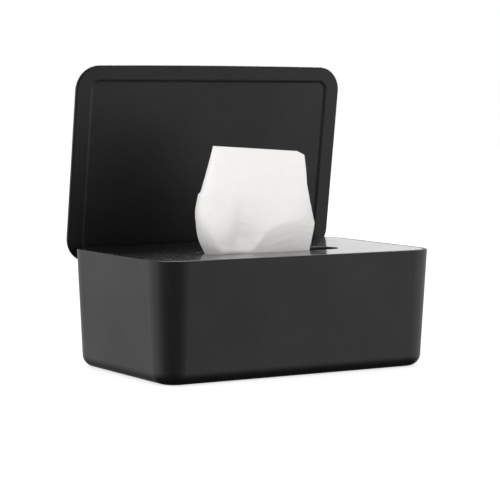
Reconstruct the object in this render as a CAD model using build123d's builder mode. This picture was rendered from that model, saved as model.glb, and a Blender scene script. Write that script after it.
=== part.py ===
"""Countertop wipes dispenser.

A drafted tub holds a pack of folded wipes. A deck with a long dispensing slot
drops into the rim of the tub, and the lid is hinged on the back of the deck.
The next wipe stands up through the slot.

Millimetres. X runs along the width, +Y to the hinge side, +Z up. The origin is
the centre of the footprint on the counter. The lid is drawn open.
"""

import math
import os

from build123d import *

os.makedirs("parts", exist_ok=True)

# Tub: a box that narrows towards its base
tub_width = 188.0           # outside, at the rim
tub_depth = 115.0           # outside, at the rim
tub_height = 70.0           # counter to rim
rim_corner = 16.8           # plan radius of the four corners, at the rim
draft = 3.0                 # degrees, on every wall
base_round = 7.3            # round between walls and floor
rim_round = 0.6             # round on the outer edge of the rim
wall = 2.2

# Ribs inside the tub that carry the deck
rib_thickness = 1.8
rib_reach = 3.4             # how far a rib stands in from the wall, at its top
rib_foot = 14.0             # height of the lower end of a rib
rib_from_end = 20.0         # last ribs on the front and back walls, from the side walls
rib_spacing_x = 30.0        # middle ribs on the front and back walls
rib_spacing_y = 30.0        # ribs on the side walls

# Feet: four round rubber pads let flush into the floor
foot_diameter = 12.0
foot_height = 1.2
foot_fit = 0.1
foot_inset_x = 24.0         # centre of a foot, in from the side wall at the rim
foot_inset_y = 22.5         # centre of a foot, in from the front or back wall

# Deck: flush with the rim, standing on the ribs
deck_thickness = 2.4
deck_fit = 0.4              # clearance to the inside of the rim, at the top
deck_edge_round = 0.4
skirt_thickness = 1.6
skirt_depth = 5.0
skirt_fit = 0.4             # clearance between the skirt and the ribs

# Dispensing slot, in the front half of the deck
slot_length = 94.0
slot_width = 19.0
slot_y = -17.0
slot_edge_round = 1.0
throat_wall = 1.6
throat_depth = 3.0

# Hinge: two lugs on the lid, each between two cheeks of the deck
hinge_inset = 4.4           # pin axis, in from the outside of the back wall
hinge_drop = 5.8            # pin axis, down from the rim
hinge_spread = 110.0        # centre to centre of the two lugs
pin_diameter = 3.0
pin_fit = 0.05              # radial, lug on pin
knuckle_radius = 3.4        # round of lugs and cheeks about the pin
lug_width = 12.0
lug_front = 4.0             # lug foot on the lid, forward of the pin axis
cheek_thickness = 2.4
hinge_side_fit = 0.4        # beside each lug
hinge_front_fit = 0.8       # in front of each lug
cheek_side_fit = 0.5        # beside the cheeks, in the back wall
cheek_root = 6.6            # cheek root on the deck, forward of the pin axis
notch_drop = 10.1           # notch in the back wall, down from the rim

# Lid
lid_side_inset = 1.2        # the lid stops short of each side of the rim
lid_front_overhang = 2.5    # finger lip, past the front of the rim
lid_back_overhang = 0.5
lid_thickness = 3.2
lid_corner = 15.0
lid_bow = 0.6               # the front edge bows out by this at its middle
lid_gap = 1.3               # lid to rim when shut
lid_inner_round = 1.0
lid_outer_round = 1.8
lid_open = 82.5             # degrees, as drawn

# Lid panel: the inner face is recessed inside a raised border
panel_from_side = 9.5       # border width at the sides
panel_from_front = 8.0
panel_from_back = 7.0
panel_corner = 6.0
panel_depth = 0.5
panel_slope = 72.0          # degrees off square, of the step between border and panel
panel_round = 3.0           # along both edges of the step

# Wipes
pack_room_x = 14.0          # pack to the outside of the side walls
pack_room_y = 14.5          # pack to the outside of the front and back walls
pack_height = 43.0
pack_corner = 4.0
wipe_start = 0.4            # above the pack
# height, centre x, width, thickness, of the standing wipe
wipe_sections = (
    (54.0, -7.0, 56.0, 9.0),
    (66.0, -7.6, 61.0, 15.0),
    (71.0, -8.0, 64.0, 17.4),
    (80.0, -9.8, 72.0, 24.0),
    (88.0, -10.5, 75.0, 26.0),
    (100.0, -11.0, 73.0, 18.0),
    (105.0, -10.8, 70.0, 15.0),
    (118.0, -9.0, 66.0, 9.0),
    (131.0, -8.5, 59.0, 3.0),
)

# Places that follow from the sizes above
slope = math.tan(math.radians(draft))
ledge = tub_height - deck_thickness
last_rib = tub_width / 2 - rib_from_end
rib_x = (-last_rib, -rib_spacing_x, 0.0, rib_spacing_x, last_rib)
rib_y = (-rib_spacing_y, 0.0, rib_spacing_y)
foot_spacing_x = tub_width - 2 * foot_inset_x
foot_spacing_y = tub_depth - 2 * foot_inset_y
pin_y = tub_depth / 2 - hinge_inset
pin_z = tub_height - hinge_drop
hinge_x = (-hinge_spread / 2, hinge_spread / 2)
cheek_inner = lug_width / 2 + hinge_side_fit
cheek_outer = cheek_inner + cheek_thickness
notch_half = cheek_outer + cheek_side_fit
lug_room_front = lug_front + hinge_front_fit
lid_width = tub_width - 2 * lid_side_inset
lid_length = tub_depth + lid_front_overhang + lid_back_overhang
lid_face = hinge_drop + lid_gap
lid_back = hinge_inset + lid_back_overhang
lid_front = lid_back - lid_length
panel_width = lid_width - 2 * panel_from_side
panel_length = lid_length - panel_from_front - panel_from_back
pack_width = tub_width - 2 * pack_room_x
pack_depth = tub_depth - 2 * pack_room_y
pack_top = wall + pack_height
foot_spots = {
    "front_left": (-foot_spacing_x / 2, -foot_spacing_y / 2),
    "front_right": (foot_spacing_x / 2, -foot_spacing_y / 2),
    "back_left": (-foot_spacing_x / 2, foot_spacing_y / 2),
    "back_right": (foot_spacing_x / 2, foot_spacing_y / 2),
}

# The lid is drawn on the hinge plane: local x along the pins, y towards the
# rear edge and z out of the back of the lid, with the pin axis at the origin.
turn = math.radians(lid_open)
hinge_plane = Plane(
    origin=(0, pin_y, pin_z), x_dir=(1, 0, 0), z_dir=(0, math.sin(turn), math.cos(turn))
)
lug_planes = [
    Plane(origin=(x, pin_y, pin_z), x_dir=hinge_plane.y_dir, z_dir=(1, 0, 0)) for x in hinge_x
]


def mid_wall(half, z):
    """Distance from the centre to the middle of a drafted wall, at height z."""
    return half - wall / 2 - (tub_height - z) * slope


def rib_profile(half):
    """Outline of a rib against the wall that is `half` from the centre."""
    inner = half - wall - rib_reach
    return [
        (inner, ledge),
        (mid_wall(half, ledge), ledge),
        (mid_wall(half, rib_foot), rib_foot),
        (inner, rib_foot + 8.0),
    ]


with BuildPart() as tub:
    with BuildSketch(Plane.XY.offset(tub_height)):
        RectangleRounded(tub_width, tub_depth, rim_corner)
    extrude(amount=-tub_height, taper=draft)
    fillet(tub.edges().group_by(Axis.Z)[0], radius=base_round)
    fillet(tub.edges().group_by(Axis.Z)[-1], radius=rim_round)
    # inside
    with BuildSketch(Plane.XY.offset(tub_height)):
        RectangleRounded(tub_width - 2 * wall, tub_depth - 2 * wall, rim_corner - wall)
    extrude(amount=-(tub_height - wall), taper=draft, mode=Mode.SUBTRACT)
    inside_floor = tub.edges().filter_by_position(Axis.Z, wall - 0.01, wall + 0.01)
    fillet(inside_floor, radius=base_round - wall)
    # ribs on the front and back walls, then on the side walls
    for x in rib_x:
        for side in (-1, 1):
            with BuildSketch(Plane.YZ.offset(x)):
                with BuildLine():
                    Polyline([(side * y, z) for y, z in rib_profile(tub_depth / 2)], close=True)
                make_face()
            extrude(amount=rib_thickness / 2, both=True)
    for y in rib_y:
        for side in (-1, 1):
            with BuildSketch(Plane.XZ.offset(-y)):
                with BuildLine():
                    Polyline([(side * x, z) for x, z in rib_profile(tub_width / 2)], close=True)
                make_face()
            extrude(amount=rib_thickness / 2, both=True)
    # notches in the back wall for the hinges
    with Locations([(x, tub_depth / 2, tub_height - notch_drop / 2) for x in hinge_x]):
        Box(2 * notch_half, 4 * wall, notch_drop, mode=Mode.SUBTRACT)
    # recesses for the feet
    with BuildSketch(Plane.XY):
        with GridLocations(foot_spacing_x, foot_spacing_y, 2, 2):
            Circle(foot_diameter / 2 + foot_fit)
    extrude(amount=foot_height, mode=Mode.SUBTRACT)
tub.part.label = "tub"
export_step(tub.part, "parts/tub.step")


with BuildPart() as deck:
    with BuildSketch(Plane.XY.offset(ledge)):
        inset = wall + deck_fit
        RectangleRounded(tub_width - 2 * inset, tub_depth - 2 * inset, rim_corner - inset)
    extrude(amount=deck_thickness)
    fillet(deck.edges().group_by(Axis.Z)[-1], radius=deck_edge_round)
    # skirt that centres the deck between the ribs
    with BuildSketch(Plane.XY.offset(ledge)):
        inset = wall + rib_reach + skirt_fit
        RectangleRounded(tub_width - 2 * inset, tub_depth - 2 * inset, rim_corner - inset)
        inset += skirt_thickness
        RectangleRounded(
            tub_width - 2 * inset, tub_depth - 2 * inset, rim_corner - inset, mode=Mode.SUBTRACT
        )
    extrude(amount=-skirt_depth)
    # throat round the underside of the slot
    with BuildSketch(Plane.XY.offset(ledge)):
        with Locations((0, slot_y)):
            SlotOverall(slot_length + 2 * throat_wall, slot_width + 2 * throat_wall)
    extrude(amount=-throat_depth)
    # slot
    with BuildSketch(Plane.XY.offset(tub_height)):
        with Locations((0, slot_y)):
            SlotOverall(slot_length, slot_width)
    extrude(amount=-(deck_thickness + throat_depth), mode=Mode.SUBTRACT)
    slot_edge = (
        deck.edges()
        .filter_by_position(Axis.Z, tub_height - 0.01, tub_height + 0.01)
        .filter_by_position(Axis.Y, slot_y - slot_width, slot_y + slot_width)
        .filter_by_position(Axis.X, -slot_length / 2 - 1, slot_length / 2 + 1)
    )
    fillet(slot_edge, radius=slot_edge_round)
    # cheeks either side of each lug
    for x in hinge_x:
        for side in (-1, 1):
            with BuildSketch(Plane.YZ.offset(x + side * (cheek_inner + cheek_thickness / 2))):
                with Locations((pin_y, pin_z)):
                    Circle(knuckle_radius)
                with Locations((pin_y + (knuckle_radius - cheek_root) / 2, tub_height - 0.5)):
                    Rectangle(knuckle_radius + cheek_root, 1.0)
                make_hull()
            extrude(amount=cheek_thickness / 2, both=True)
    # room for each lug to turn in
    with Locations([(x, pin_y, tub_height) for x in hinge_x]):
        Box(2 * cheek_inner, 2 * lug_room_front, 2 * notch_drop, mode=Mode.SUBTRACT)
    # pin holes
    with Locations([(x, pin_y, pin_z) for x in hinge_x]):
        Cylinder(pin_diameter / 2, 3 * lug_width, rotation=(0, 90, 0), mode=Mode.SUBTRACT)
deck.part.label = "deck"
export_step(deck.part, "parts/deck.step")


lid_axis = Axis(hinge_plane.origin, hinge_plane.z_dir)
with BuildPart() as lid:
    with BuildSketch(hinge_plane.offset(lid_face)):
        with BuildLine():
            half = lid_width / 2
            Polyline((half, lid_front), (half, lid_back), (-half, lid_back), (-half, lid_front))
            ThreePointArc((-half, lid_front), (0, lid_front - lid_bow), (half, lid_front))
        make_face()
        fillet(vertices(), radius=lid_corner)
    extrude(amount=lid_thickness)
    fillet(lid.edges().group_by(lid_axis)[0], radius=lid_inner_round)
    fillet(lid.edges().group_by(lid_axis)[-1], radius=lid_outer_round)
    # recessed panel, with a soft step all round
    before = lid.edges()
    with BuildSketch(hinge_plane.offset(lid_face)):
        with Locations((0, lid_back - panel_from_back - panel_length / 2)):
            RectangleRounded(panel_width, panel_length, panel_corner)
    extrude(amount=panel_depth, taper=panel_slope, mode=Mode.SUBTRACT)
    step = [
        edge
        for edge in lid.edges()
        if min(
            abs(hinge_plane.to_local_coords(edge.center()).Z - z)
            for z in (lid_face, lid_face + panel_depth)
        )
        < 0.01
        and edge not in before
    ]
    fillet(step, radius=panel_round)
    # lugs
    for plane in lug_planes:
        with BuildSketch(plane):
            Circle(knuckle_radius)
            with Locations(((knuckle_radius - lug_front) / 2, lid_face + lid_thickness / 4)):
                Rectangle(knuckle_radius + lug_front, lid_thickness / 2)
            make_hull()
            Circle(pin_diameter / 2 + pin_fit, mode=Mode.SUBTRACT)
        extrude(amount=lug_width / 2, both=True)
lid.part.label = "lid"
export_step(lid.part, "parts/lid.step")


for name, x in zip(("left", "right"), hinge_x):
    with BuildPart() as hinge_pin:
        with BuildSketch(Plane.YZ.offset(x)):
            with Locations((pin_y, pin_z)):
                Circle(pin_diameter / 2)
        extrude(amount=cheek_outer, both=True)
        chamfer(hinge_pin.edges().filter_by(GeomType.CIRCLE), length=0.3)
    hinge_pin.part.label = f"hinge_pin_{name}"
    export_step(hinge_pin.part, f"parts/hinge_pin_{name}.step")


for name, spot in foot_spots.items():
    with BuildPart() as foot:
        with BuildSketch(Plane.XY):
            with Locations(spot):
                Circle(foot_diameter / 2)
        extrude(amount=foot_height)
        chamfer(foot.edges().group_by(Axis.Z)[0], length=0.3)
    foot.part.label = f"foot_{name}"
    export_step(foot.part, f"parts/foot_{name}.step")


with BuildPart() as wipe_pack:
    with BuildSketch(Plane.XY.offset(wall)):
        RectangleRounded(pack_width, pack_depth, pack_corner)
    extrude(amount=pack_height)
wipe_pack.part.label = "wipe_pack"
export_step(wipe_pack.part, "parts/wipe_pack.step")


with BuildPart() as wipe:
    first = wipe_sections[0]
    for z, x, w, t in ((pack_top + wipe_start, *first[1:]), *wipe_sections):
        with BuildSketch(Plane.XY.offset(z)):
            with Locations((x, slot_y)):
                RectangleRounded(w, t, 0.45 * t)
    loft(ruled=True)
wipe.part.label = "wipe"
export_step(wipe.part, "parts/wipe.step")
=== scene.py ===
import math

import bmesh
import bpy
import numpy as np
from mathutils import Matrix, Vector


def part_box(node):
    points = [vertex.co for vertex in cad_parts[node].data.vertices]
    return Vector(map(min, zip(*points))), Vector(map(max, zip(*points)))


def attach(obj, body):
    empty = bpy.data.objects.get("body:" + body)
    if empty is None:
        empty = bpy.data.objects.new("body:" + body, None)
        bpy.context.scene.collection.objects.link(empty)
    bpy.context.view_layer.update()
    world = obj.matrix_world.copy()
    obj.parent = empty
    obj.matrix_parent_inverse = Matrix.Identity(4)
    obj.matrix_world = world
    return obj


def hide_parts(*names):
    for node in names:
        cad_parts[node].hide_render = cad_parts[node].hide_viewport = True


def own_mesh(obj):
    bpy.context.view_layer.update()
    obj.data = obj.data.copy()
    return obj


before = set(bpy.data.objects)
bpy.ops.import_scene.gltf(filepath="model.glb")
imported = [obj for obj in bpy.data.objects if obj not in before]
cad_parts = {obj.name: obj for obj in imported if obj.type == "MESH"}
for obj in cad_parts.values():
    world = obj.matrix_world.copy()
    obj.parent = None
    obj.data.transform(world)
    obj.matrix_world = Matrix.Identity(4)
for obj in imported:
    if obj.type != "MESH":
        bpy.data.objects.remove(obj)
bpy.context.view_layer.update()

# ---------------------------------------------------------------------------
# Tub
# An injection-moulded box of black ABS with a fine satin texture from the
# mould, drawn out of it straight up, so its walls lean in towards the floor.
# ---------------------------------------------------------------------------

plastic_black = (0.0036, 0.0035, 0.0034)
clean, dusty = 0.9, 1.25     # shares of that black where it is clean, and under dust
plastic_ior = 1.46
satin_rough = 0.42
satin_pits = 0.00006         # metres, depth of the pits that the mould's texture leaves
pit_strength = 0.5
pit_size = 0.0007            # metres across, as are the next two
cloud_size = 0.035           # patches of a little more or less gloss
dust_size = 0.012
cloud_swing = 0.03           # how far the roughness goes either way in those patches
noise_band = (0.3, 0.7)      # the middle of a noise texture, where nearly all of it lies


def feed(node, inputs):
    """Gives each input of a node its value, or links the output that feeds it."""
    for socket, source in inputs.items():
        if isinstance(source, bpy.types.NodeSocket):
            node.id_data.links.new(source, node.inputs[socket])
        else:
            node.inputs[socket].default_value = source


def add_node(tree, kind, inputs=None, **settings):
    node = tree.nodes.new(kind)
    for setting, choice in settings.items():
        setattr(node, setting, choice)
    feed(node, inputs or {})
    return node


def new_material(name):
    """A material, its node tree and its Principled shader."""
    material = bpy.data.materials.new(name)
    material.use_nodes = True
    return material, material.node_tree, material.node_tree.nodes["Principled BSDF"]


def own_place(tree, kind="Object"):
    """Where on the piece the shader is."""
    return add_node(tree, "ShaderNodeTexCoord").outputs[kind]


def noise_ramp(place, size, low=0.0, high=1.0, detail=3.0):
    """Noise with features of one size, in metres, ramped between two values."""
    tree = place.id_data
    noise = add_node(
        tree, "ShaderNodeTexNoise", {"Vector": place, "Scale": 1 / size, "Detail": detail}
    )
    ramp = add_node(
        tree,
        "ShaderNodeMapRange",
        {
            "Value": noise.outputs["Fac"],
            "From Min": noise_band[0],
            "From Max": noise_band[1],
            "To Min": low,
            "To Max": high,
        },
    )
    return ramp.outputs["Result"]


def two_tone(place, size, colour, low, high, detail=3.0):
    """A colour that drifts between two shares of itself."""
    tones = [(*[min(1, c * share) for c in colour], 1) for share in (low, high)]
    tint = {"Fac": noise_ramp(place, size, detail=detail), "Color1": tones[0], "Color2": tones[1]}
    return add_node(place.id_data, "ShaderNodeMixRGB", tint).outputs["Color"]


def bump(height, depth, strength, under=None):
    """The normal of a surface with relief of that depth, on top of the relief under it."""
    relief = {"Height": height, "Distance": depth, "Strength": strength}
    if under is not None:
        relief["Normal"] = under
    return add_node(height.id_data, "ShaderNodeBump", relief).outputs["Normal"]


def moulded_plastic(name, roughness, pit_depth):
    """Black plastic with pits from the mould, a faintly cloudy gloss and a trace of dust."""
    material, tree, shader = new_material(name)
    place = own_place(tree)
    clouds = noise_ramp(place, cloud_size, roughness - cloud_swing, roughness + cloud_swing)
    pits = noise_ramp(place, pit_size, detail=2.0)
    feed(shader, {
        "Base Color": two_tone(place, dust_size, plastic_black, clean, dusty),
        "Roughness": clouds,
        "IOR": plastic_ior,
        "Normal": bump(pits, pit_depth, pit_strength),
    })
    return material


def finish_node(node, material):
    """Gives a carried-over CAD node its finish."""
    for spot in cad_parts[node].material_slots:
        spot.material = material


finish_node("tub", moulded_plastic("tub plastic", satin_rough, satin_pits))

# ---------------------------------------------------------------------------
# Feet
# Four round pads of soft black rubber, punched from sheet and glued into
# shallow recesses in the floor of the tub.
# ---------------------------------------------------------------------------

rubber_black = (0.02, 0.02, 0.02, 1)
rubber_grain = 0.002         # metres

foot_rubber, rubber_tree, shader = new_material("foot rubber")
feed(shader, {
    "Base Color": rubber_black,
    "Roughness": noise_ramp(own_place(rubber_tree), rubber_grain, 0.7, 0.9),
})
for corner in ("front_left", "front_right", "back_left", "back_right"):
    finish_node("foot_" + corner, foot_rubber)

# ---------------------------------------------------------------------------
# Pack of wipes
# Nonwoven wipes, each folded once and laid nose to tail, in a stack that
# fills the tub. The stack is soft, so its leaves sag and stand out unevenly.
# ---------------------------------------------------------------------------

leaf_count = 24
leaf_gap = 0.0001            # between one leaf and the next
ply = 0.0008                 # one thickness of wet wipe
stack_inset = 0.001          # room left round the leaves, on each side
cut_edge_step = 0.002        # the upper ply ends this much before the lower one
leaf_mouth = 0.03            # how deep the cut edges stand open
leaf_steps, leaf_cuts = 6, 13          # mesh steps across a leaf, and cuts along it
nose_steps, nose_blend = 5, 0.3        # and round its nose, from where the plies run on (radians)
leaf_slip, leaf_sag = 0.0007, 0.0024   # how far a leaf lies out of line, and hangs down
sag_scale, sag_rise = 26, 0.15         # waves per metre, and how much they change upwards
sag_crest = 0.72                       # near the highest value of the waves, so no leaf rises
wipe_white = (0.86, 0.842, 0.825)
weave_size = 0.006           # metres, cloudy patches where the fibres lie closer
fuzz_size = 0.001
dot_spacing = 0.0018         # the dots that press the fibres together
dot_depth = 0.00016
lint_size = 0.0004
lint_depth = 0.00005
scatter_share = 0.3          # light that wanders through the fibres
scatter_reach = 0.0012


def nonwoven(name, place_from):
    """Soft white nonwoven with rows of small embossed dots and fine lint."""
    material, tree, shader = new_material(name)
    place = own_place(tree, place_from)
    dot_pattern = {"Vector": place, "Scale": 1 / dot_spacing, "Randomness": 0.25}
    dots = add_node(tree, "ShaderNodeTexVoronoi", dot_pattern).outputs["Distance"]
    lint = noise_ramp(place, lint_size, detail=4.0)
    feed(shader, {
        "Base Color": two_tone(place, weave_size, wipe_white, 0.985, 1.01, detail=6.0),
        "Roughness": noise_ramp(place, fuzz_size, 0.8, 0.95),
        "Specular IOR Level": 0.25,
        "Subsurface Weight": scatter_share,
        "Subsurface Radius": (scatter_reach,) * 3,
        "Subsurface Scale": 1.0,
        "Normal": bump(lint, lint_depth, 0.4, under=bump(dots, dot_depth, 0.35)),
    })
    return material


pack_low, pack_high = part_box("wipe_pack")
half_x = (pack_high.x - pack_low.x) / 2 - stack_inset
half_y = (pack_high.y - pack_low.y) / 2 - stack_inset
leaf_pitch = (pack_high.z - pack_low.z) / leaf_count
leaf_thick = leaf_pitch - leaf_gap

# side view of one folded leaf, about its own middle: two plies joined by a nose at -y
nose = leaf_thick / 2
run = 2 * half_y - nose
short_run = run - cut_edge_step
mouth_end = half_y - leaf_mouth
outline = [(half_y - run * k / leaf_steps, 0.0) for k in range(leaf_steps + 1)]
outline += [
    (-half_y + nose * (1 - math.sin(a)), nose * (1 - math.cos(a)))
    for a in np.linspace(nose_blend, math.pi - nose_blend, nose_steps)
]
outline += [
    (-half_y + nose + short_run * k / leaf_steps, leaf_thick) for k in range(leaf_steps + 1)
]
outline += [(half_y - cut_edge_step, leaf_thick - ply), (mouth_end, leaf_thick - ply)]
outline += [(mouth_end, ply), (half_y, ply)]
leaf = bmesh.new()
cuts = np.linspace(-half_x, half_x, leaf_cuts)
rings = [[leaf.verts.new((x, *yz)) for yz in outline] for x in cuts]
for ring, next_ring in zip(rings, rings[1:]):
    for i in range(len(outline)):
        j = (i + 1) % len(outline)
        leaf.faces.new((ring[i], ring[j], next_ring[j], next_ring[i])).smooth = True
leaf.faces.new(rings[0][::-1])
leaf.faces.new(rings[-1])
bmesh.ops.triangulate(leaf, faces=[f for f in leaf.faces if len(f.verts) > 4])
bmesh.ops.recalc_face_normals(leaf, faces=leaf.faces)
leaf_mesh = bpy.data.meshes.new("wipe_leaf")
leaf.to_mesh(leaf_mesh)
leaf.free()
stack = bpy.data.objects.new("leaf_stack", leaf_mesh)
bpy.context.scene.collection.objects.link(stack)

# the tree that stacks the leaves: every other one turned end for end, none quite in line
tree = bpy.data.node_groups.new("stack of leaves", "GeometryNodeTree")
inputs = {}
for label, kind, value in (
    ("Geometry", "NodeSocketGeometry", None),
    ("Leaves", "NodeSocketInt", leaf_count),
    ("Pitch", "NodeSocketFloat", leaf_pitch),
    ("Unevenness", "NodeSocketFloat", leaf_slip),
    ("Sag", "NodeSocketFloat", leaf_sag),
    ("Material", "NodeSocketMaterial", nonwoven("pack nonwoven", "Object")),
):
    socket = tree.interface.new_socket(label, in_out="INPUT", socket_type=kind)
    if value is not None:
        inputs[socket.identifier] = value
tree.interface.new_socket("Geometry", in_out="OUTPUT", socket_type="NodeSocketGeometry")


def tree_maths(operation, a, b):
    return add_node(tree, "ShaderNodeMath", {0: a, 1: b}, operation=operation).outputs["Value"]


def tree_vector(**parts):
    return add_node(tree, "ShaderNodeCombineXYZ", parts).outputs["Vector"]


start = add_node(tree, "NodeGroupInput").outputs
line = {"Count": start["Leaves"], "Offset": tree_vector(Z=start["Pitch"])}
index = add_node(tree, "GeometryNodeInputIndex").outputs["Index"]
half_turn = tree_maths("MULTIPLY", tree_maths("MODULO", index, 2), math.pi)
put = add_node(tree, "GeometryNodeInstanceOnPoints", {
    "Points": add_node(tree, "GeometryNodeMeshLine", line).outputs["Mesh"],
    "Instance": start["Geometry"],
    "Rotation": tree_vector(Z=half_turn),
})
either_way = {"Min": (-1, -1, 0), "Max": (1, 1, 0), "Seed": 7}
loose = add_node(tree, "FunctionNodeRandomValue", either_way, data_type="FLOAT_VECTOR")
slip = {0: loose.outputs["Value"], "Scale": start["Unevenness"]}
shift = add_node(tree, "GeometryNodeTranslateInstances", {
    "Instances": put.outputs["Instances"],
    "Translation": add_node(tree, "ShaderNodeVectorMath", slip, operation="SCALE").outputs[0],
})
moved = {"Geometry": shift.outputs["Instances"]}
real = add_node(tree, "GeometryNodeRealizeInstances", moved)
# a long wave sags the leaves, nearly alike from leaf to leaf and not at all at the bottom
where = add_node(tree, "GeometryNodeInputPosition").outputs["Position"]
pressed = {0: where, 1: (1, 1, sag_rise)}
wave = add_node(tree, "ShaderNodeTexNoise", {
    "Vector": add_node(tree, "ShaderNodeVectorMath", pressed, operation="MULTIPLY").outputs[0],
    "Scale": sag_scale,
    "Detail": 1,
})
below = tree_maths("SUBTRACT", wave.outputs["Fac"], sag_crest)
grow = add_node(tree, "ShaderNodeMapRange", {
    "Value": add_node(tree, "ShaderNodeSeparateXYZ", {"Vector": where}).outputs["Z"],
    "From Max": leaf_pitch * leaf_count,
})
drop = tree_maths("MULTIPLY", tree_maths("MULTIPLY", below, start["Sag"]), grow.outputs["Result"])
sagged = add_node(tree, "GeometryNodeSetPosition", {
    "Geometry": real.outputs["Geometry"],
    "Offset": tree_vector(Z=drop),
})
dyed = add_node(tree, "GeometryNodeSetMaterial", {
    "Geometry": sagged.outputs["Geometry"],
    "Material": start["Material"],
})
add_node(tree, "NodeGroupOutput", {"Geometry": dyed.outputs["Geometry"]})
modifier = stack.modifiers.new("stack", "NODES")
modifier.node_group = tree
for identifier, value in inputs.items():
    modifier[identifier] = value
bpy.context.view_layer.update()
settled = stack.evaluated_get(bpy.context.evaluated_depsgraph_get())
stack_mesh = bpy.data.meshes.new_from_object(settled)
bpy.data.objects.remove(stack)
middle = (pack_low + pack_high) / 2
stack_mesh.transform(Matrix.Translation((middle.x, middle.y, pack_low.z + leaf_gap / 2)))
wipe_stack = bpy.data.objects.new("folded_wipes", stack_mesh)
bpy.context.scene.collection.objects.link(wipe_stack)
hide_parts("wipe_pack")
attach(wipe_stack, "tub")

# ---------------------------------------------------------------------------
# Deck
# The flat top, moulded of the same black ABS but with a smoother face, so it
# mirrors what stands on it when seen at a low angle. It drops in on the ribs.
# ---------------------------------------------------------------------------

deck_rough = 0.5
deck_pits = 0.000012

deck_plastic = moulded_plastic("deck plastic", deck_rough, deck_pits)
# the skin that the polished side of the mould leaves
polish = {"Coat Weight": 0.8, "Coat Roughness": 0.12, "Coat IOR": 1.45}
feed(deck_plastic.node_tree.nodes["Principled BSDF"], polish)
finish_node("deck", deck_plastic)

# ---------------------------------------------------------------------------
# Hinge pins
# Two drawn stainless pins with chamfered ends, pressed through the cheeks of
# the deck and the lugs of the lid.
# ---------------------------------------------------------------------------

steel_grey = (0.56, 0.56, 0.55, 1)
draw_lines = 0.0003          # metres between the fine lines along a drawn wire

pin_steel, steel_tree, shader = new_material("pin steel")
drawn_out = {"Vector": own_place(steel_tree), "Scale": (0.05, 1, 1)}
stretch = add_node(steel_tree, "ShaderNodeMapping", drawn_out).outputs["Vector"]
feed(shader, {
    "Base Color": steel_grey,
    "Metallic": 1.0,
    "Roughness": noise_ramp(stretch, draw_lines, 0.22, 0.38),
})
finish_node("hinge_pin_left", pin_steel)
finish_node("hinge_pin_right", pin_steel)

# ---------------------------------------------------------------------------
# The wipe in the slot
# One nonwoven sheet, folded once down its left side and drawn up through the
# slot. The slot pinches it, so it bellies out above and tucks back in below.
# ---------------------------------------------------------------------------

# this section is in millimetres, heights are above the counter, and x and y the object's own
mm = 0.001
deck_face = 70               # height of the top of the deck
slot_middle = -17.0          # y of the middle of the slot
wipe_foot = 45.9             # height of its lower end, on the pack
wipe_ply = 0.4
across, up = 84, 120         # mesh steps on each ply, and in height
fold_crowding = 0.1          # the less, the closer the mesh steps stand round the fold
# the cut top edge, from its left corner: x and height, its fall, and the clipped right corner
cut_about = 130              # a first guess at its height
cut_left, cut_height, cut_fall = -39.3, 131.7, 0.064
clip_from, clip_fall = 18.3, 0.42

# outline of the folded sheet, as height and x: its folded side and its free side
fold_line = (
    (46, -33.0), (58, -35.5), (66, -38.5), (70, -39.8), (72, -41.2), (76, -43.6), (80, -45.4),
    (85, -46.9), (90, -47.8), (95, -47.9), (100, -47.1), (103.8, -46.5), (104.9, -45.1),
    (110, -43.6), (118, -41.3), (125, -39.4), (132, -37.6),
)
free_line = (
    (46, 19.5), (58, 21.5), (66, 22.6), (70, 23.1), (72, 23.6), (78, 25.1), (82, 26.1),
    (85.8, 26.9), (91, 25.7), (98, 24.2), (108.5, 22.8), (117.3, 23.3), (126, 23.2), (132, 22.4),
)

# as height and mm: how far the fold stands behind the slot's middle, and from the fold the
# reach over which each ply rounds off
fold_back = ((46, 0), (60, 4), (70, 6), (78, 4), (88, 0))
front_nose = ((66, 4), (74, 5), (86, 9), (97, 8), (118, 4), (132, 1.2))
back_nose = ((66, 5), (74, 8), (86, 11), (97, 9), (118, 4), (132, 1.2))

# how far the front ply stands forward of the slot's middle: heights down, x across
drape_x = (-46, -38, -30, -24, -18, -10, 0, 10, 18, 26)
drape = {
    46: (3.0, 3.0, 3.0, 3.0, 3.0, 3.0, 3.0, 3.0, 3.0, 3.0),
    58: (6.0, 6.0, 6.0, 6.0, 6.0, 6.0, 6.0, 6.0, 6.0, 6.0),
    70: (8.7, 9.1, 9.3, 9.2, 8.8, 13.5, 16.0, 18.0, 17.0, 12.0),
    75: (8.8, 8.9, 8.6, 7.1, 7.2, 12.0, 15.0, 16.8, 15.2, 10.8),
    79: (8.7, 9.0, 8.7, 5.7, 6.3, 10.6, 14.2, 15.7, 13.7, 9.9),
    84: (7.8, 8.6, 8.6, 6.0, 7.0, 9.8, 12.7, 13.8, 11.7, 8.6),
    90: (5.8, 7.2, 7.9, 6.3, 7.3, 9.2, 10.7, 11.6, 10.6, 7.8),
    97: (4.4, 5.8, 7.0, 6.7, 7.3, 8.4, 9.2, 9.6, 9.0, 7.0),
    105: (4.0, 5.2, 6.2, 6.8, 7.0, 7.4, 7.6, 7.6, 7.2, 6.0),
    118: (2.6, 3.4, 4.2, 4.4, 4.6, 4.8, 4.8, 4.6, 4.2, 3.6),
    132: (1.0, 1.0, 1.0, 1.0, 1.0, 1.0, 1.0, 1.0, 1.0, 1.0),
}
# below the belly it tucks back in to the slot: reach at the deck, and its growth with height
tuck_reach = 8.5
tuck_growth = ((-24, 0.7), (-16, 0.26), (-8, 0.2), (10, 0.22), (19, 0.13), (26, 0.0))   # by x
# and at the left corner, where the reach grows to the right and upwards
corner_reach, corner_x, corner_growth_x, corner_growth_z = 12.9, -27, 0.32, 0.34
corner_low, untucked = 68, 50          # the corner isn't tucked below this height
crease_round = 0.35
ply_gap = 0.3                # the front ply stays at least this much before the fold
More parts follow.
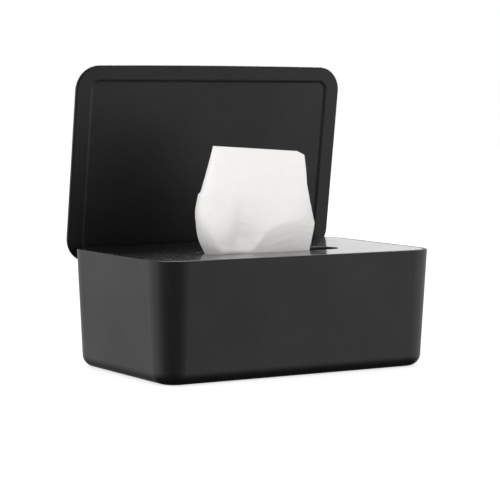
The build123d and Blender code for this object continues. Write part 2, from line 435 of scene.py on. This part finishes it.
# small creases: middle x and height, reach in x and height, angle, spacing, depth
crumples = (
    (-43.0, 99.0, 5.0, 7.0, 0.9, 4.4, 0.5), (-39.0, 76.0, 5.0, 4.0, 2.2, 3.8, 0.4),
    (21.0, 93.0, 4.5, 9.0, -0.8, 4.6, 0.5), (22.0, 84.0, 5.0, 3.5, 1.4, 3.4, 0.4),
    (-22.0, 88.0, 7.0, 4.0, 1.2, 5.0, 0.35), (-15.0, 76.0, 4.0, 5.0, 0.4, 4.0, 0.4),
    (2.0, 76.0, 12.0, 4.0, 1.9, 5.2, 0.25), (14.0, 124.0, 8.0, 4.0, 0.6, 6.0, 0.25),
)
crease_sink = 0.3            # share of its depth by which a crease sinks between its ridges

# the back ply, as height and reach behind the slot's middle, and the depth of its soft pleats
back_drape = (
    (46, 2), (58, 5), (66, 7.4), (70, 8.2), (80, 10.2), (90, 11), (105, 7.6), (118, 4), (132, 1),
)
pleat_depth = ((73, 0), (84, 1.1), (100, 0.9), (118, 0))
pleat_spacing, pleat_lean, pleat_x = 7.5, 40, -6

# soft unevenness of a damp sheet: how many waves, how tightly set along and up, their height
ripple_waves, ripple_along, ripple_up, ripple_height = 14, 0.10, 0.07, 0.05
ripple_seed = 11
ripple_grows = 15            # mm above the deck over which they come in
full_turn = 6.28             # radians


def through(line, at):
    """Straight runs between points, given as pairs."""
    return np.interp(at, *zip(*line))


def eased(at, knots, values):
    """Smooth curve through values at knots; values may differ for each entry of `at`."""
    knots, values = np.array(knots, float), np.array(values, float)
    if values.ndim == 1:
        values = np.repeat(values[:, None], at.size, axis=1)
    slopes = np.gradient(values, knots, axis=0)
    i = np.clip(np.searchsorted(knots, at) - 1, 0, len(knots) - 2)
    n = np.arange(at.size)
    h = knots[i + 1] - knots[i]
    t = np.clip((at - knots[i]) / h, 0, 1)
    return (
        values[i, n] * (2 * t**3 - 3 * t**2 + 1)
        + slopes[i, n] * h * (t**3 - 2 * t**2 + t)
        + values[i + 1, n] * (3 * t**2 - 2 * t**3)
        + slopes[i + 1, n] * h * (t**3 - t**2)
    )


def least(soft, *surfaces):
    """The least of several surfaces, with the crease between them rounded by `soft` mm."""
    low = np.min(surfaces, axis=0)
    return low - soft * np.log(sum(np.exp(-(s - low) / soft) for s in surfaces))


def front_reach(x, z):
    columns = [eased(z, list(drape), column) for column in zip(*drape.values())]
    belly = eased(x, drape_x, columns)
    above = z - deck_face
    tuck = tuck_reach + above * through(tuck_growth, x)
    corner = corner_reach + corner_growth_x * (x - corner_x) + corner_growth_z * above
    reach = least(crease_round, belly, tuck, np.where(z < corner_low, untucked, corner))
    for mid_x, mid_z, reach_x, reach_z, angle, spacing, depth in crumples:
        along = (x - mid_x) * math.cos(angle) + (z - mid_z) * math.sin(angle)
        near = np.exp(-(((x - mid_x) / reach_x) ** 2) - ((z - mid_z) / reach_z) ** 2)
        ridge = (1 - np.abs(np.sin(math.pi * along / spacing))) ** 2
        reach = reach + depth * near * (ridge - crease_sink)
    return reach


def back_reach(x, z):
    pleat = np.cos((x - pleat_x) / pleat_spacing + (z - deck_face) / pleat_lean)
    return eased(z, *zip(*back_drape)) + pleat * through(pleat_depth, z)


def top_of(x):
    return cut_height - (x - cut_left) * cut_fall - np.maximum(x - clip_from, 0) * clip_fall


even = np.linspace(0, 1, across + 1)
spread = even**2 / (even + fold_crowding) * (1 + fold_crowding)
points, flat_places = [], []
for rise in np.linspace(0, 1, up + 1):
    row, flat_row = [], []
    for side in (1, -1):                             # front ply, then back ply
        shares = spread[::-1] if side > 0 else spread[1:]
        z = np.full(shares.shape, wipe_foot + rise * (cut_about - wipe_foot))
        for _ in range(3):                           # settle height, as the cut edge slopes
            x = through(fold_line, z) + (through(free_line, z) - through(fold_line, z)) * shares
            z = wipe_foot + rise * (top_of(x) - wipe_foot)
        from_fold = x - through(fold_line, z)
        fold_y = slot_middle + through(fold_back, z)
        if side > 0:
            ply_y = np.minimum(slot_middle - front_reach(x, z), fold_y - ply_gap)
            rounding = through(front_nose, z)
        else:
            ply_y = slot_middle + back_reach(x, z)
            rounding = through(back_nose, z)
        rounded = np.sqrt(1 - (1 - np.clip(from_fold / rounding, 0, 1)) ** 2)
        row += list(zip(x, fold_y + (ply_y - fold_y) * rounded, z))
        flat_row += list(zip(-side * from_fold, z))
    points.append(row)
    flat_places.append(flat_row)
points, flat_places = np.array(points), np.array(flat_places)
rng = np.random.default_rng(ripple_seed)
ripple = np.zeros(points.shape[:2])
for _ in range(ripple_waves):
    along, upward = rng.normal(0, ripple_along), rng.normal(0, ripple_up)
    phase = along * flat_places[..., 0] + upward * points[..., 2] + rng.uniform(0, full_turn)
    ripple += rng.normal(0, ripple_height) * np.sin(phase)
points[..., 1] += ripple * np.clip((points[..., 2] - deck_face) / ripple_grows, 0, 1)
sheet = bmesh.new()
uv = sheet.loops.layers.uv.new("weave")
grid = [[sheet.verts.new(Vector(p) * mm) for p in row] for row in points]
for i in range(len(grid) - 1):
    for j in range(len(grid[0]) - 1):
        corners = ((i, j), (i, j + 1), (i + 1, j + 1), (i + 1, j))
        face = sheet.faces.new([grid[a][b] for a, b in corners])
        face.smooth = True
        for loop, (a, b) in zip(face.loops, corners):
            loop[uv].uv = flat_places[a, b] * mm
bmesh.ops.recalc_face_normals(sheet, faces=sheet.faces)
sheet_mesh = bpy.data.meshes.new("standing_wipe")
sheet.to_mesh(sheet_mesh)
sheet.free()
standing_wipe = bpy.data.objects.new("standing_wipe", sheet_mesh)
bpy.context.scene.collection.objects.link(standing_wipe)
standing_wipe.data.materials.append(nonwoven("wipe nonwoven", "UV"))
thickness = standing_wipe.modifiers.new("thickness", "SOLIDIFY")
thickness.thickness = wipe_ply * mm
thickness.offset = 0
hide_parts("wipe")
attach(standing_wipe, "wipe")
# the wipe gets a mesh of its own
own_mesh(standing_wipe)

# ---------------------------------------------------------------------------
# Lid
# One moulding of the same black ABS with a satin face inside and out, recessed
# inside a raised border. Its two lugs turn on the pins with some drag.
# ---------------------------------------------------------------------------

finish_node("lid", moulded_plastic("lid plastic", satin_rough, satin_pits))

# ---------------------------------------------------------------------------
# Counter, light and camera
# A plain white counter in a light tent: bright behind and overhead, and less
# so on the camera's side, where the tent is open.
# ---------------------------------------------------------------------------

counter_radius = 4.0
counter_drop = 0.0002        # just under the feet
counter_white = (0.6, 0.6, 0.6, 1)
counter_glow = 0.7           # lit from within a little, so that it stays plain white

counter_mesh = bpy.data.meshes.new("counter")
disc = bmesh.new()
bmesh.ops.create_circle(disc, cap_ends=True, segments=96, radius=counter_radius)
bmesh.ops.translate(disc, verts=disc.verts, vec=(0, 0, -counter_drop))
disc.to_mesh(counter_mesh)
disc.free()
counter = bpy.data.objects.new("counter", counter_mesh)
bpy.context.scene.collection.objects.link(counter)
counter_paint, _, shader = new_material("counter paint")
feed(shader, {
    "Base Color": counter_white,
    "Roughness": 0.9,
    "Specular IOR Level": 0.0,
    "Emission Color": (1, 1, 1, 1),
    "Emission Strength": counter_glow,
})
counter.data.materials.append(counter_paint)
counter.visible_glossy = False       # the tent goes on below, where it is reflected

eye = Vector((-0.64625, -1.03142, 0.17016))    # where the camera stands
yaw, pitch, roll = (math.radians(a) for a in (31.988, 4.753, 0.334))
frame_pixels, focal_pixels = 500, 2058.79
sensor = 36                  # its width in millimetres

# brightness of the tent's parts, as glossy surfaces mirror them
back_wall, open_side, roof, lamp_panel = 1.2, 0.25, 0.2, 9.0
matt_white, seen_white = 0.75, 1.0     # and plain, as it lights the rest and as it is seen
wall_end = (0.2, 0.9)                  # how far towards the camera the wall's light falls off
roof_rim = (0.3, 0.65)                 # how far up the wall gives way to the roof
panel_way = (0.296, 0.474, 0.829)      # where the lamp panel hangs
panel_rim = (0.95, 0.975)              # how near to that direction its soft rim lies
# the table: how far towards the camera, from 0 straight away from it to 1, and brightness
table_levels = ((0.15, 1.05), (0.67, 1.8), (0.74, 1.2), (0.82, 0.48), (1.0, 0.25))
table_fade = (-0.65, -0.05)            # from dark straight down to full brightness
horizon_blur = 0.04

world = bpy.data.worlds.new("light tent")
bpy.context.scene.world = world
world.use_nodes = True
tent = world.node_tree
direction = add_node(tent, "ShaderNodeTexCoord").outputs["Generated"]


def ranged(value, low, high, to_low=0.0, to_high=1.0):
    """A level that runs smoothly from one value to another."""
    limits = {"From Min": low, "From Max": high, "To Min": to_low, "To Max": to_high}
    settings = {"Value": value, **limits}
    ramp = add_node(tent, "ShaderNodeMapRange", settings, interpolation_type="SMOOTHSTEP")
    return ramp.outputs["Result"]


def mixed(share, a, b):
    return add_node(tent, "ShaderNodeMix", {"Factor": share, "A": a, "B": b}).outputs["Result"]


def nearness(way):
    """1 where the tent is seen in that direction, -1 in the opposite one."""
    dot = {0: direction, 1: Vector(way).normalized()}
    return add_node(tent, "ShaderNodeVectorMath", dot, operation="DOT_PRODUCT").outputs["Value"]


toward_eye = nearness((eye.x, eye.y, 0))
lift = add_node(tent, "ShaderNodeSeparateXYZ", {"Vector": direction}).outputs["Z"]
# upper half: a bright wall behind and to the sides, one lamp panel high behind, else dark
wall = ranged(toward_eye, *wall_end, back_wall, open_side)
dim_top = mixed(ranged(lift, *roof_rim), wall, roof)
panel_edge = ranged(nearness(panel_way), *panel_rim)
upper = mixed(panel_edge, dim_top, lamp_panel)
# lower half: the white table, falling off towards the camera and straight down
across_table = {0: toward_eye, 1: 0.5, 2: 0.5}     # -1 to 1 becomes 0 to 1
table = add_node(tent, "ShaderNodeValToRGB", {
    "Fac": add_node(tent, "ShaderNodeMath", across_table, operation="MULTIPLY_ADD").outputs[0],
})
table.color_ramp.interpolation = "EASE"
for _ in table_levels[2:]:
    table.color_ramp.elements.new(0.5)
for stop, (reached, brightness) in zip(table.color_ramp.elements, table_levels):
    stop.position, stop.color = reached, (brightness, brightness, brightness, 1)
fade = {0: table.outputs["Color"], 1: ranged(lift, *table_fade)}
lower = add_node(tent, "ShaderNodeMath", fade, operation="MULTIPLY").outputs["Value"]
mirrored = mixed(ranged(lift, -horizon_blur, horizon_blur), lower, upper)
# the eye and matt surfaces get the plain white of the tent, glossy ones its shape
path = add_node(tent, "ShaderNodeLightPath").outputs
plain = mixed(path["Is Camera Ray"], matt_white, seen_white)
feed(tent.nodes["Background"], {
    "Color": (1, 1, 1, 1),
    "Strength": mixed(path["Is Glossy Ray"], plain, mirrored),
})
world.cycles.sampling_method = "NONE"

# two soft lamps for the matt surfaces: low in front, and on the left
lamp_size = 0.9
lit_point = Vector((0, 0, 0.09))
for name, place, watts in (
    ("front fill", Vector((-0.35, -1.05, 0.05)), 4.6),
    ("left fill", Vector((-1.1, -0.2, 0.1)), 3.4),
):
    lamp = bpy.data.lights.new(name, "AREA")
    lamp.shape = "DISK"
    lamp.size = lamp_size
    lamp.energy = watts
    fill = bpy.data.objects.new(name, lamp)
    fill.location = place
    fill.rotation_euler = (lit_point - place).to_track_quat("-Z", "Y").to_euler()
    fill.visible_glossy = False
    bpy.context.scene.collection.objects.link(fill)

# the way that the camera looks, and its own right and upward directions
level = math.cos(pitch)
forward = Vector((math.sin(yaw) * level, math.cos(yaw) * level, -math.sin(pitch)))
sideways = Vector((math.cos(yaw), -math.sin(yaw), 0))
upright = sideways.cross(forward)
right = sideways * math.cos(roll) + upright * math.sin(roll)
over = upright * math.cos(roll) - sideways * math.sin(roll)
camera_data = bpy.data.cameras.new("camera")
camera_data.sensor_width = sensor
camera_data.lens = focal_pixels / frame_pixels * sensor
camera = bpy.data.objects.new("camera", camera_data)
turned = Matrix((right, over, -forward)).transposed().to_4x4()
camera.matrix_world = Matrix.Translation(eye) @ turned
bpy.context.scene.collection.objects.link(camera)
bpy.context.scene.camera = camera
bpy.context.scene.view_settings.view_transform = "Standard"
